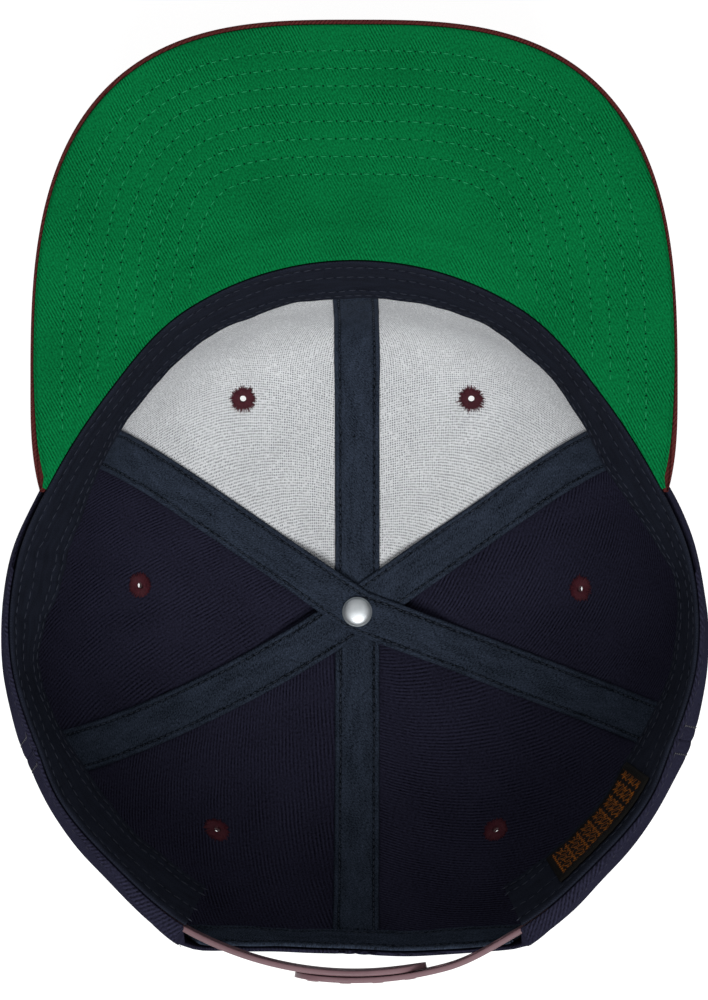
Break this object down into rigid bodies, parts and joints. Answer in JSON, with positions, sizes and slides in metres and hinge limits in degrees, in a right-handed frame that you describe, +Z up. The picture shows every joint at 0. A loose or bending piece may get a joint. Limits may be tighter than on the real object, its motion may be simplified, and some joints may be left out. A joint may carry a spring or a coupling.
{
  "type": "snapback cap",
  "caption": "Snapback cap lying upside down on its crown, with a flat visor, lined seams, a sweatband, a rear arch and fastened plastic snap straps.",
  "frame": {"origin": "on the floor, under the centre of the whole cap's bounding box, with the cap lying upside down on its crown", "axes": "+Z up, out of the head opening; -Y towards the visor; +X towards the wearer's right side"},
  "size_m": [0.2048, 0.275, 0.1255],
  "materials": {
    "crown_twill": "navy cotton twill",
    "stiffener": "white woven stiffener",
    "seam_tape": "dark blue cotton tape with sewn edges",
    "band_cotton": "navy cotton band",
    "label_weave": "black woven label",
    "cover_twill": "dark red cotton twill",
    "underside_twill": "green cotton twill, stitched in rows",
    "strap_plastic": "plum plastic, slightly clear",
    "rivet_metal": "pressed silver metal",
    "eyelet_thread": "dark red satin stitches"
  },
  "bodies": {
    "root": {"panel_front_right": "crown_twill", "panel_front_left": "crown_twill", "panel_side_right": "crown_twill", "panel_side_left": "crown_twill", "panel_rear_right": "crown_twill", "panel_rear_left": "crown_twill", "buckram_right": "stiffener", "buckram_left": "stiffener", "tape_centre": "seam_tape", "tape_left_right": "seam_tape", "tape_right_left": "seam_tape", "arch_tape": "seam_tape", "sweatband": "band_cotton", "inner_label": "label_weave", "visor_top": "cover_twill", "visor_underside": "underside_twill", "strap_studs": "strap_plastic", "strap_holes": "strap_plastic", "top_button": "cover_twill", "rivet": "rivet_metal", "eyelet_front_right": "eyelet_thread", "eyelet_front_left": "eyelet_thread", "eyelet_side_right": "eyelet_thread", "eyelet_side_left": "eyelet_thread", "eyelet_rear_right": "eyelet_thread", "eyelet_rear_left": "eyelet_thread"}
  },
  "joints": []
}
